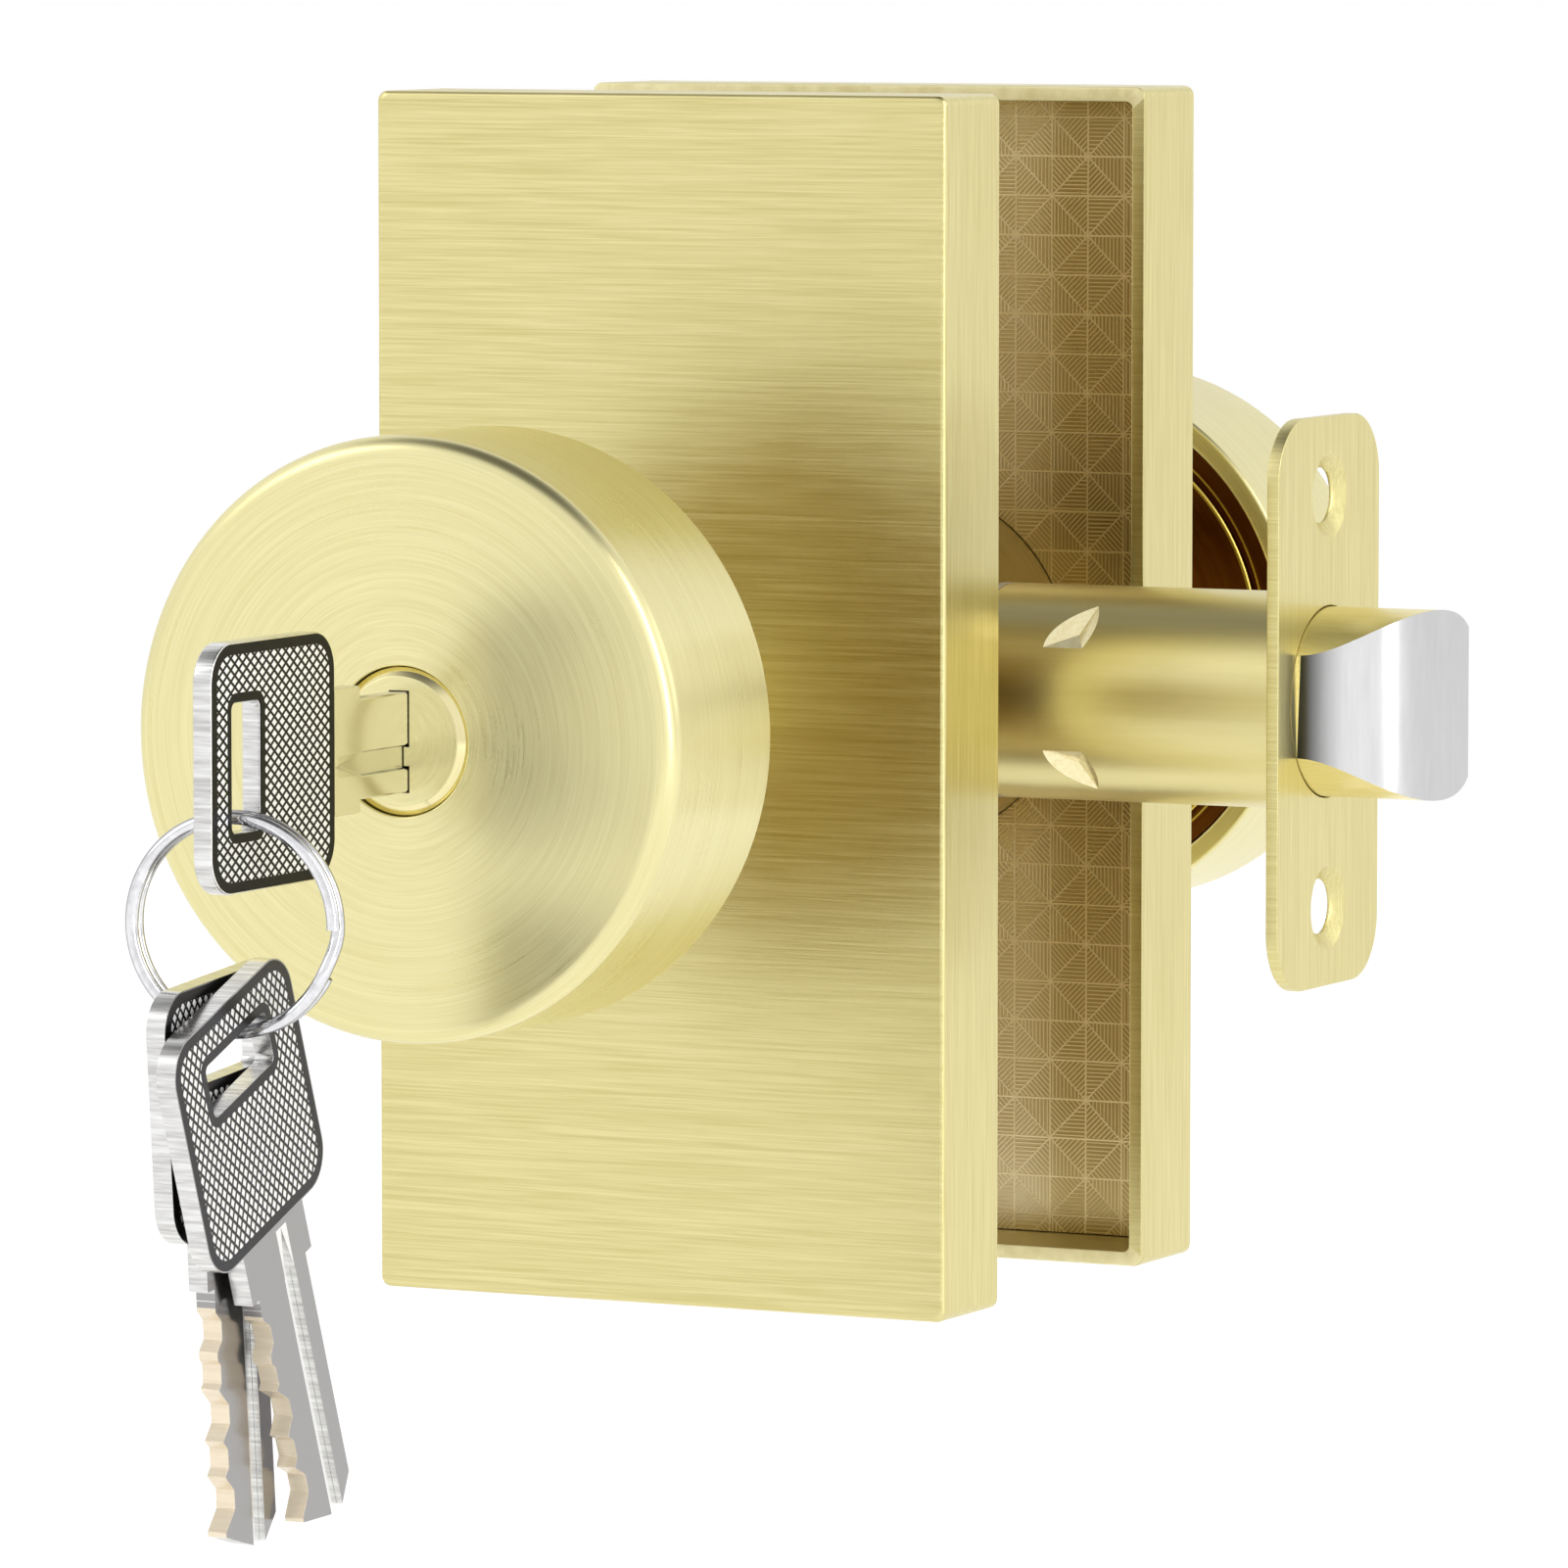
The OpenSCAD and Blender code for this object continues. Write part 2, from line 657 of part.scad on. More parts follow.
// Half-round pin beside the bolt's flat, held in by the strike
module deadlatch_plunger() {
    x0 = backset + plunger_out - plunger_l;
    color("silver") intersection() {
        toward_x(x0) cylinder(r = bolt_r, h = plunger_l);
        translate([x0, plunger_y, -bolt_r]) cube([plunger_l, bolt_r, 2 * bolt_r]);
    }
}

// Small spring that pushes the plunger out
module plunger_spring() {
    x0 = bolt_rear_x + bolt_flange_t;
    wire = 0.25;
    room = (bolt_r - plunger_y) / 2;
    color("gray") translate([0, plunger_y + room, 0]) toward_x(x0)
        coil(room - 2 * wire - 0.25, wire, backset + plunger_out - plunger_l - x0, 8, 10, 5);
}

exterior_rosette();
exterior_liner();
exterior_housing();
exterior_cap();
exterior_spring();
interior_rosette();
interior_liner();
interior_housing();
interior_cap();
interior_spring();
upper_post();
lower_post();
upper_bolt();
lower_bolt();
latch_tube();
latch_faceplate();
latch_case();
exterior_knob_shell();
exterior_knob_back();
exterior_neck();
exterior_retainer();
spindle();
cylinder_housing();
interior_knob_shell();
interior_knob_back();
interior_neck();
interior_retainer();
interior_core();
cylinder_plug();
tailpiece();
inserted_key();
key_ring();
spare_key_a();
spare_key_b();
turn_button();
button_stem();
latch_cam();
latch_bolt();
bolt_stem();
bolt_spring();
deadlatch_plunger();
plunger_spring();
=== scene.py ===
import math
import bpy
import bmesh
from mathutils import Matrix, Vector


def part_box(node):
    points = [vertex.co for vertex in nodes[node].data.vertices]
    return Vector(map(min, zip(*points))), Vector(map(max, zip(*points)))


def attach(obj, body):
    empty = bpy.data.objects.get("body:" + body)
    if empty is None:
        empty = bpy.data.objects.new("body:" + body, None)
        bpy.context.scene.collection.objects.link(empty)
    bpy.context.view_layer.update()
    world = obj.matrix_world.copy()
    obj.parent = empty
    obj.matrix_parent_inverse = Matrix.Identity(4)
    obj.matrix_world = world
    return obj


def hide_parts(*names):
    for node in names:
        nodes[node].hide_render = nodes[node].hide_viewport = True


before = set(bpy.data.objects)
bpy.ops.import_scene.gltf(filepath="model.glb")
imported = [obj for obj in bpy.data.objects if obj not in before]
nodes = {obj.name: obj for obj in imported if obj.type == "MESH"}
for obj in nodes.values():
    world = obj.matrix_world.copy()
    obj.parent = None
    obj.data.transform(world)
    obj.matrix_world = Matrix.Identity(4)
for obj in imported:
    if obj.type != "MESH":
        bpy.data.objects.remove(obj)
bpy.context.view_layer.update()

# ---- Studio ----
# The lock hangs in a plain pale studio, as a fitter would see it before it goes on a door.
# A pale floor lies well below it, and large soft lamps stand round it, with one long lens in front.
camera_turn, camera_rise, camera_away = math.radians(26.212), math.radians(4.896), 1.079924
camera_left, camera_down = 0.000695, 0.010528
behind = Vector((math.sin(camera_turn) * math.cos(camera_rise),
                 -math.cos(camera_turn) * math.cos(camera_rise), math.sin(camera_rise)))
rightward = Vector((math.cos(camera_turn), math.sin(camera_turn), 0))
upward = behind.cross(rightward)
lens = bpy.data.cameras.new("studio_camera")
lens.sensor_width, lens.lens = 36, 241.70
lens.clip_end = 200
camera = bpy.data.objects.new("studio_camera", lens)
camera.location = behind * camera_away - rightward * camera_left - upward * camera_down
camera.rotation_mode = "QUATERNION"
camera.rotation_quaternion = (-behind).to_track_quat("-Z", "Y")
bpy.context.scene.collection.objects.link(camera)
bpy.context.scene.camera = camera
bpy.context.scene.view_settings.view_transform = "Standard"


def put(tree, kind, links=(), **settings):
    """A shader node; links sets or joins its inputs by name or number."""
    made = tree.nodes.new("ShaderNode" + kind)
    for key, value in settings.items():
        setattr(made, key, value)
    for key, value in dict(links).items():
        if isinstance(value, bpy.types.NodeSocket):
            tree.links.new(value, made.inputs[key])
        else:
            made.inputs[key].default_value = value
    return made


def calc(tree, what, *values):
    """The result of one sum on numbers or sockets."""
    return put(tree, "Math", enumerate(values), operation=what).outputs[0]


floor_half, floor_z, floor_glow = 60.0, -0.16, 0.31
floor_mesh = bpy.data.meshes.new("studio_floor")
corners = [(x * floor_half, y * floor_half, floor_z) for x, y in ((-1, -1), (1, -1), (1, 1), (-1, 1))]
floor_mesh.from_pydata(corners, [], [(0, 1, 2, 3)])
studio_floor = bpy.data.objects.new("studio_floor", floor_mesh)
bpy.context.scene.collection.objects.link(studio_floor)
pale = bpy.data.materials.new("pale_floor")
pale.use_nodes = True
pale_shader = pale.node_tree.nodes["Principled BSDF"]
floor_tone = put(pale.node_tree, "TexNoise", {"Scale": 3.0})
floor_mix = put(pale.node_tree, "MixRGB",
                {0: floor_tone.outputs[0], 1: (0.93, 0.93, 0.93, 1), 2: (0.96, 0.96, 0.96, 1)})
pale.node_tree.links.new(floor_mix.outputs[0], pale_shader.inputs["Base Color"])
pale_shader.inputs["Roughness"].default_value = 0.9
pale_shader.inputs["Emission Color"].default_value = (1, 1, 1, 1)
pale_shader.inputs["Emission Strength"].default_value = floor_glow
floor_mesh.materials.append(pale)

# The air is bright round the sides and falls to a darker ceiling overhead.
ceiling_from, ceiling_to = 0.7, 0.96
studio_air = bpy.data.worlds.new("studio_air")
bpy.context.scene.world = studio_air
studio_air.use_nodes = True
sky = studio_air.node_tree
height = put(sky, "SeparateXYZ", {0: put(sky, "TexCoord").outputs["Generated"]}).outputs[2]
ceiling = put(sky, "MapRange", {0: height, 1: ceiling_from, 2: ceiling_to},
              interpolation_type="SMOOTHSTEP").outputs[0]
air_tone = put(sky, "MixRGB", {0: ceiling, 1: (0.98, 0.98, 0.98, 1), 2: (0.12, 0.12, 0.12, 1)})
sky.links.new(air_tone.outputs[0], sky.nodes["Background"].inputs["Color"])
sky.nodes["Background"].inputs["Strength"].default_value = 1.0

for lamp, place, size, power in (("left_softbox", (-2.0, -1.7, 1.5), (1.2, 1.2), 7),
                                 ("right_softbox", (2.3, 1.5, 0.9), (1.3, 1.3), 4),
                                 ("right_strip", (1.66, -0.82, 0.72), (0.25, 1.8), 10)):
    light = bpy.data.lights.new(lamp, "AREA")
    light.shape, light.size, light.size_y, light.energy = "RECTANGLE", size[0], size[1], power
    stand = bpy.data.objects.new(lamp, light)
    stand.location = place
    stand.rotation_mode = "QUATERNION"
    stand.rotation_quaternion = (-Vector(place)).to_track_quat("-Z", "Y")
    bpy.context.scene.collection.objects.link(stand)


# ---- Rosettes ----
# Two deep rectangular plates of satin brass, pressed and then brushed: along the width on the front,
# up and down on the sides. Each sits with its open rim on the door and is clamped by the through bolts.
mm = 0.001


def new_group(name, inlets, outlets):
    """An empty shader node group, with its inlet and outlet sockets."""
    group = bpy.data.node_groups.new(name, "ShaderNodeTree")
    for label, kind, value in inlets:
        socket = group.interface.new_socket(name=label, in_out="INPUT", socket_type="NodeSocket" + kind)
        if value is not None:
            socket.default_value = value
    for label, kind in outlets:
        group.interface.new_socket(name=label, in_out="OUTPUT", socket_type="NodeSocket" + kind)
    return group, group.nodes.new("NodeGroupInput").outputs, group.nodes.new("NodeGroupOutput").inputs


coarse_scale, coarse_share, fine_share = 0.45, 0.45, 0.55


def strokes_from(group, outlet, place, fourth=None):
    """Fine and coarse noise at a stretched place, put out as stroke height and stroke tone."""
    shrunk = put(group, "VectorMath", {0: place, "Scale": coarse_scale}, operation="SCALE").outputs[0]
    fine_at, coarse_at, kind = {"Vector": place}, {"Vector": shrunk}, "3D"
    if fourth is not None:
        fine_at["W"], coarse_at["W"], kind = fourth, calc(group, "MULTIPLY", fourth, coarse_scale), "4D"
    fine, coarse = (put(group, "TexNoise", {"Scale": 1.0, "Detail": 2.0, **at}, noise_dimensions=kind).outputs[0]
                    for at in (fine_at, coarse_at))
    both = calc(group, "MULTIPLY_ADD", fine, fine_share, calc(group, "MULTIPLY", coarse, coarse_share))
    tone = put(group, "MapRange", {0: both, 1: 0.36, 2: 0.64})
    group.links.new(fine, outlet["Height"])
    group.links.new(tone.outputs[0], outlet["Tone"])


# Straight brushing: Pull is how many strokes there are in a metre along each axis.
straight_strokes, inlet, outlet = new_group(
    "straight_strokes", (("Place", "Vector", None), ("Pull", "Vector", (110, 6800, 6800))),
    (("Height", "Float"), ("Tone", "Float")))
pulled = put(straight_strokes, "VectorMath", {0: inlet["Place"], 1: inlet["Pull"]}, operation="MULTIPLY")
strokes_from(straight_strokes, outlet, pulled.outputs[0])

# Handling: slow cloudy marks and sparse fine scratches that any bare metal picks up.
handling, inlet, outlet = new_group("handling", (("Place", "Vector", None), ("Cloud", "Float", 60.0)),
                                    (("Smudge", "Float"), ("Scratch", "Float")))
cloud = put(handling, "TexNoise", {"Vector": inlet["Place"], "Scale": inlet["Cloud"], "Detail": 3.0})
smudge = put(handling, "MapRange", {0: cloud.outputs[0], 1: 0.35, 2: 0.68})
handling.links.new(smudge.outputs[0], outlet["Smudge"])
stretched = put(handling, "VectorMath", {0: inlet["Place"], 1: (900, 1500, 700)}, operation="MULTIPLY")
cells = put(handling, "TexVoronoi", {"Vector": stretched.outputs[0], "Scale": 1.0}, feature="DISTANCE_TO_EDGE")
thin = put(handling, "MapRange", {0: cells.outputs[0], 1: 0.0, 2: 0.03, 3: 1.0, 4: 0.0})
rare = put(handling, "MapRange", {0: cloud.outputs[0], 1: 0.58, 2: 0.62})
handling.links.new(calc(handling, "MULTIPLY", thin.outputs[0], rare.outputs[0]), outlet["Scratch"])


def metal(name, spread=0.0, turn=0.0):
    """A bare metal material, its node tree, its shader and the place on the piece."""
    made = bpy.data.materials.new(name)
    made.use_nodes = True
    tree = made.node_tree
    shader = tree.nodes["Principled BSDF"]
    shader.inputs["Metallic"].default_value = 1.0
    shader.inputs["Anisotropic"].default_value = spread
    shader.inputs["Anisotropic Rotation"].default_value = turn
    return made, tree, shader, put(tree, "TexCoord").outputs["Object"]


def surface(tree, shader, place, light, dark, tone, height, rough, swing, bump, cloud=60.0):
    """Joins tone to colour, tone and smudges to roughness, and height to the normal; gives the colour."""
    marks = put(tree, "Group", {"Place": place, "Cloud": cloud}, node_tree=handling)
    colour = put(tree, "MixRGB", {0: tone, 1: dark, 2: light}).outputs[0]
    tree.links.new(colour, shader.inputs["Base Color"])
    worn = calc(tree, "MULTIPLY_ADD", marks.outputs["Smudge"], swing, rough - swing / 2)
    worn = calc(tree, "MULTIPLY_ADD", marks.outputs["Scratch"], -0.01, worn)
    worn = calc(tree, "MULTIPLY_ADD", tone, swing, worn)
    tree.links.new(worn, shader.inputs["Roughness"])
    relief = put(tree, "Bump", {"Strength": bump, "Distance": 0.02 * mm, "Height": height})
    tree.links.new(relief.outputs[0], shader.inputs["Normal"])
    return colour


def stroked_metal(name, pull, light, dark, rough, swing, bump, cloud=60.0):
    """A metal with straight lines from drawing or brushing, its tree, shader, place and colour."""
    made, tree, shader, place = metal(name)
    stroke = put(tree, "Group", {0: place, 1: pull}, node_tree=straight_strokes)
    colour = surface(tree, shader, place, light, dark, stroke.outputs["Tone"], stroke.outputs["Height"],
                     rough, swing, bump, cloud)
    return made, tree, shader, place, colour


brass_light, brass_dark = (0.785, 0.71, 0.355, 1), (0.655, 0.575, 0.25, 1)
satin_brass, tree, shader, place = metal("satin_brass", 0.55)
facing = put(tree, "SeparateXYZ", {0: put(tree, "TexCoord").outputs["Normal"]})
sideways = calc(tree, "GREATER_THAN", calc(tree, "ABSOLUTE", facing.outputs[0]), 0.7)
parts = put(tree, "SeparateXYZ", {0: place})
upright = put(tree, "CombineXYZ", {0: parts.outputs[2], 1: parts.outputs[1], 2: parts.outputs[0]})
turned_place = put(tree, "Mix", {0: sideways, 4: place, 5: upright.outputs[0]}, data_type="VECTOR").outputs[1]
stroke = put(tree, "Group", {0: turned_place}, node_tree=straight_strokes)
surface(tree, shader, place, brass_light, brass_dark, stroke.outputs["Tone"], stroke.outputs["Height"],
        0.30, 0.05, 0.6)
across = put(tree, "Mix", {0: sideways, 4: (0, 0, 1), 5: (0, 1, 0)}, data_type="VECTOR").outputs[1]
tree.links.new(across, shader.inputs["Tangent"])

# The sawn rim of a rosette is left matt, and its pale colour at the top and bottom ends is a painted highlight.
rim_highlight_brass, tree, shader, place, colour = stroked_metal(
    "rim_highlight_brass", (900, 3000, 900), (0.86, 0.79, 0.46, 1), (0.74, 0.66, 0.34, 1), 0.45, 0.05, 0.2)
shader.inputs["Metallic"].default_value = 0.6


def apply_all(piece):
    """Turns what a piece's modifiers make into its own mesh."""
    graph = bpy.context.evaluated_depsgraph_get()
    made = bpy.data.meshes.new_from_object(piece.evaluated_get(graph), preserve_all_data_layers=True,
                                           depsgraph=graph)
    piece.modifiers.clear()
    piece.data = made


def settle(piece, smooth=35):
    """Applies a piece's modifiers and shades it smooth between its sharp edges."""
    apply_all(piece)
    piece.data.shade_smooth()
    piece.data.set_sharp_from_angle(angle=math.radians(smooth))
    piece.modifiers.new("even_shading", "WEIGHTED_NORMAL").keep_sharp = True
    apply_all(piece)
    return piece


def new_piece(name, shape, material):
    """An object from a bmesh, with one material."""
    made = bpy.data.meshes.new(name)
    bmesh.ops.recalc_face_normals(shape, faces=shape.faces)
    shape.to_mesh(made)
    shape.free()
    made.materials.append(material)
    piece = bpy.data.objects.new(name, made)
    bpy.context.scene.collection.objects.link(piece)
    return piece


def fit(piece, body, slot, *stands_for):
    """Says what a piece rides on and the solids it stands for; slot is not used."""
    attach(piece, body)
    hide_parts(*stands_for)
    return piece


def skinned(name, loops, material):
    """A closed skin over a ring of loops with the same number of points each."""
    shape = bmesh.new()
    rows = [[shape.verts.new(point) for point in loop] for loop in loops]
    for row, after in zip(rows, rows[1:] + rows[:1]):
        for i in range(len(row)):
            j = (i + 1) % len(row)
            shape.faces.new((row[i], row[j], after[j], after[i]))
    return new_piece(name, shape, material)


corner_steps, short_side_points, long_side_points = 5, 18, 40


def plate_outline(width, height, corner):
    """Points round a rectangle with rounded corners, evenly spread on its sides."""
    def on_corner(k, degrees):
        sx, sz = ((1, 1), (-1, 1), (-1, -1), (1, -1))[k % 4]
        a = math.radians(degrees)
        return (sx * (width / 2 - corner) + corner * math.cos(a),
                sz * (height / 2 - corner) + corner * math.sin(a))

    points = []
    for k in range(4):
        points += [on_corner(k, 90 * k + 90 // corner_steps * i) for i in range(corner_steps + 1)]
        start, stop = Vector(on_corner(k, 90 * (k + 1))), Vector(on_corner(k + 1, 90 * (k + 1)))
        count = (short_side_points, long_side_points)[k % 2]
        points += [tuple(start.lerp(stop, (i + 1) / (count + 1))) for i in range(count)]
    return points


rosette_w, rosette_h, rosette_wall, rosette_corner = 63.5, 121.5, 1.5, 1.0
rim_y, rosette_y, rosette_bore = 17.5, 30.2, 12.1
front_ease, rim_ease, highlight_rim_z = 0.55, 0.2, 59.0


def rosette(name, side):
    """One rosette; side is -1 outside the door and 1 inside it."""
    plan = plate_outline(rosette_w, rosette_h, rosette_corner)

    def box_loop(shrink, y, corner=rosette_corner):
        return [(x * mm, side * y * mm, z * mm) for x, z in
                plate_outline(rosette_w - 2 * shrink, rosette_h - 2 * shrink, corner)]

    def hole_loop(radius, y):
        return [(radius * math.cos(a) * mm, side * y * mm, radius * math.sin(a) * mm)
                for a in (math.atan2(z, x) for x, z in plan)]

    loops = [hole_loop(rosette_bore, rosette_y - 0.2), hole_loop(rosette_bore + 0.2, rosette_y)]
    for i in range(6):
        a = math.radians(90 - 18 * i)
        loops.append(box_loop(front_ease * (1 - math.cos(a)), rosette_y - front_ease * (1 - math.sin(a))))
    inner, inside_y = rosette_wall, rosette_y - rosette_wall
    loops += [box_loop(0, rim_y + rim_ease), box_loop(rim_ease * 0.3, rim_y + rim_ease * 0.3),
              box_loop(rim_ease, rim_y), box_loop(inner - rim_ease, rim_y, 0.8),
              box_loop(inner - rim_ease * 0.3, rim_y + rim_ease * 0.3, 0.7),
              box_loop(inner, rim_y + rim_ease, 0.6), box_loop(inner, inside_y - 0.3, 0.6),
              box_loop(inner + 0.1, inside_y - 0.1, 0.6), box_loop(inner + 0.3, inside_y, 0.6),
              hole_loop(rosette_bore, inside_y)]
    piece = settle(skinned(name, loops, satin_brass))
    # Rim faces at the top and bottom ends take the matt brass, whose pale colour is a painted highlight.
    piece.data.materials.append(rim_highlight_brass)
    for face in piece.data.polygons:
        on_rim = abs(face.normal.y) > 0.9 and abs(face.center.y) < (rim_y + 0.1) * mm
        if on_rim and abs(face.center.z) > highlight_rim_z * mm:
            face.material_index = 1
    return piece


for side, where in ((-1, "exterior"), (1, "interior")):
    fit(rosette(where + "_rosette_plate", side), "lock_frame", "satin_brass", where + "_rosette")


def finish(material, *names):
    """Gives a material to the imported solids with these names."""
    for name in names:
        nodes[name].material_slots[0].material = material


def from_mid(tree, value):
    """How far a value lies from the middle between two whole numbers."""
    return calc(tree, "SUBTRACT", calc(tree, "FRACT", value), 0.5)


liner_tile, hatch_pitch = 4.1, 0.42
# Where the liners carry a painted reflection, and how strong it is.
sheen_from_x, sheen_to_x, sheen_share = 19, 13, 0.38
liner_brass, tree, shader, place = metal("liner_brass")
parts = put(tree, "SeparateXYZ", {0: place})
tile_u, tile_v = (from_mid(tree, calc(tree, "DIVIDE", parts.outputs[i], 2 * liner_tile * mm)) for i in (0, 2))
far_u, far_v = calc(tree, "ABSOLUTE", tile_u), calc(tree, "ABSOLUTE", tile_v)
far, near = calc(tree, "MAXIMUM", far_u, far_v), calc(tree, "MINIMUM", far_u, far_v)
slant = calc(tree, "GREATER_THAN", calc(tree, "MULTIPLY", calc(tree, "MULTIPLY", tile_u, tile_v),
                                        calc(tree, "SUBTRACT", far_u, far_v)), 0.0)
aslant = calc(tree, "MULTIPLY", calc(tree, "ADD", far, near), 0.7071)
hatch_at = put(tree, "Mix", {0: slant, 2: far, 3: aslant}).outputs[0]
ridge = calc(tree, "ABSOLUTE", from_mid(tree, calc(tree, "MULTIPLY", hatch_at, 2 * liner_tile / hatch_pitch)))
hatch = put(tree, "MapRange", {0: ridge, 1: 0.30, 2: 0.40, 4: 0.75}).outputs[0]
seam = calc(tree, "MINIMUM", calc(tree, "ABSOLUTE", calc(tree, "SUBTRACT", far_u, far_v)),
            calc(tree, "MINIMUM", near, calc(tree, "SUBTRACT", 0.5, far)))
seam_line = put(tree, "MapRange", {0: seam, 1: 0.016, 2: 0.006, 3: 0.0, 4: 1.0}).outputs[0]
lines = calc(tree, "MAXIMUM", hatch, seam_line)
colour = surface(tree, shader, place, (0.80, 0.655, 0.36, 1), (0.45, 0.34, 0.14, 1), lines, lines,
                 0.28, 0.06, 0.6, 30.0)
# Painted reflection: toward the middle the hatched colour is mixed toward pale brass, standing in for a glossy
# haze.
painted_sheen_mask = put(tree, "MapRange", {0: parts.outputs[0], 1: sheen_from_x * mm, 2: sheen_to_x * mm, 3: 0.0,
                                       4: sheen_share}, interpolation_type="SMOOTHSTEP").outputs[0]
painted_sheen = put(tree, "MixRGB", {0: painted_sheen_mask, 1: colour, 2: (0.97, 0.86, 0.60, 1)})
tree.links.new(painted_sheen.outputs[0], shader.inputs["Base Color"])
finish(liner_brass, "exterior_liner", "interior_liner")


# ---- Spring housings, caps, posts and bolts ----
# Behind each rosette a turned housing holds the return spring of its knob, closed by a pressed cap.
# Two posts and two steel bolts pull both halves together through the door.
def reach_from_axis(tree, axes):
    """How far a place lies from the Y axis."""
    return calc(tree, "SQRT", calc(tree, "ADD", *(calc(tree, "MULTIPLY", axes.outputs[i], axes.outputs[i])
                                                  for i in (0, 2))))


# Turned strokes: lathe marks and brushing that run round an axis along Y.
turned_strokes, inlet, outlet = new_group(
    "turned_strokes", (("Place", "Vector", None), ("Arc", "Float", 3.0), ("Fineness", "Float", 9000.0)),
    (("Height", "Float"), ("Tone", "Float")))
axes = put(turned_strokes, "SeparateXYZ", {0: inlet["Place"]})
reach = reach_from_axis(turned_strokes, axes)
safe_reach = calc(turned_strokes, "MAXIMUM", reach, 0.2 * mm)
turn_x, turn_z = (calc(turned_strokes, "MULTIPLY", calc(turned_strokes, "DIVIDE", axes.outputs[i], safe_reach),
                       inlet["Arc"]) for i in (0, 2))
along = calc(turned_strokes, "MULTIPLY", axes.outputs[1], inlet["Fineness"])
round_place = put(turned_strokes, "CombineXYZ", {0: turn_x, 1: turn_z, 2: along}).outputs[0]
strokes_from(turned_strokes, outlet, round_place, calc(turned_strokes, "MULTIPLY", reach, inlet["Fineness"]))


def turned_metal(name, light, dark, rough, swing=0.05, bump=0.3, spread=0.5, arc=3.0, fineness=9000.0):
    """A metal finished on the lathe, with its marks round the Y axis."""
    made, tree, shader, place = metal(name, spread, 0.25)
    marks = put(tree, "Group", {0: place, 1: arc, 2: fineness}, node_tree=turned_strokes)
    surface(tree, shader, place, light, dark, marks.outputs["Tone"], marks.outputs["Height"], rough, swing, bump)
    round_way = put(tree, "Tangent", direction_type="RADIAL", axis="Y").outputs[0]
    tree.links.new(round_way, shader.inputs["Tangent"])
    return made


warm_brass = turned_metal("warm_brass", (0.62, 0.49, 0.20, 1), (0.48, 0.36, 0.12, 1), 0.28,
                          bump=0.4, fineness=5000.0)
zinc_steel = turned_metal("zinc_steel", (0.66, 0.67, 0.68, 1), (0.52, 0.53, 0.55, 1), 0.34,
                          spread=0.2, fineness=4000.0)
finish(warm_brass, "exterior_housing", "interior_housing", "exterior_cap", "interior_cap", "upper_post",
       "lower_post")
finish(zinc_steel, "upper_bolt", "lower_bolt", "spindle", "tailpiece", "button_stem")

# Drawn wire and stamped clips: plain spring steel with faint lines left by the die.
spring_steel = stroked_metal("spring_steel", (1800, 1800, 1800), (0.60, 0.60, 0.61, 1), (0.42, 0.42, 0.43, 1),
                             0.26, 0.08, 0.2)[0]
finish(spring_steel, "exterior_spring", "interior_spring", "exterior_retainer", "interior_retainer",
       "bolt_spring", "plunger_spring")


# ---- Knobs ----
# Each knob is a spun shell of satin brass, brushed in circles on its face and round its side.
# A dark lacquered cover closes its back, and a plain neck carries it in the housing.
def rounded(corners, steps=5):
    """A path with each corner of (radius, distance, ease) rounded off."""
    path, count = [], len(corners)
    for i, (r, d, ease) in enumerate(corners):
        here = Vector((r, d))
        if ease <= 0:
            path.append((r, d))
            continue
        a = (Vector(corners[i - 1][:2]) - here).normalized()
        b = (Vector(corners[(i + 1) % count][:2]) - here).normalized()
        half = a.angle(b) / 2
        centre = here + (a + b).normalized() * (ease / math.sin(half))
        first, last = here + a * (ease / math.tan(half)) - centre, here + b * (ease / math.tan(half)) - centre
        sweep = first.angle(last)
        for k in range(steps + 1):
            w = k / steps
            arm = (first * math.sin((1 - w) * sweep) + last * math.sin(w * sweep)) / math.sin(sweep)
            path.append(tuple(centre + arm))
    return path


def turned(name, corners, material, side=1, axis="Y", steps=180):
    """A solid turned round an axis from a closed path in millimetres."""
    path = rounded(corners)
    shape = bmesh.new()
    rows = []
    for i in range(steps):
        a = 2 * math.pi * i / steps
        row = []
        for r, d in path:
            c, s, d = r * math.cos(a) * mm, r * math.sin(a) * mm, side * d * mm
            row.append(shape.verts.new((c, d, s) if axis == "Y" else (d, c, s)))
        rows.append(row)
    for row, after in zip(rows, rows[1:] + rows[:1]):
        for i in range(len(path)):
            j = (i + 1) % len(path)
            shape.faces.new((row[i], row[j], after[j], after[i]))
    bmesh.ops.remove_doubles(shape, verts=shape.verts, dist=1e-7)
    bmesh.ops.dissolve_degenerate(shape, edges=shape.edges, dist=1e-8)
    return new_piece(name, shape, material)


knob_brass = turned_metal("knob_brass", (0.855, 0.795, 0.44, 1), (0.765, 0.695, 0.355, 1), 0.28,
                          bump=0.12, spread=0.45, arc=2.2, fineness=6400.0)
knob_r, knob_wall, knob_back_y, knob_front_y, knob_inner_y, knob_edge = 29.2, 2.2, 63.5, 84.5, 82.3, 1.8


def knob_shell(name, side, bore):
    """One knob shell, with a bore in its face."""
    inner = knob_r - knob_wall
    return settle(turned(name, [
        (bore, knob_inner_y, 0.1), (bore, knob_front_y, 0.2), (knob_r, knob_front_y, knob_edge),
        (knob_r, knob_back_y, 0.5), (inner, knob_back_y, 0.35), (inner, knob_inner_y, 0.4)], knob_brass, side), 50)


fit(knob_shell("exterior_knob_body", -1, 7.25), "exterior_knob", "satin_brass", "exterior_knob_shell")
fit(knob_shell("interior_knob_body", 1, 3.6), "interior_knob", "satin_brass", "interior_knob_shell")
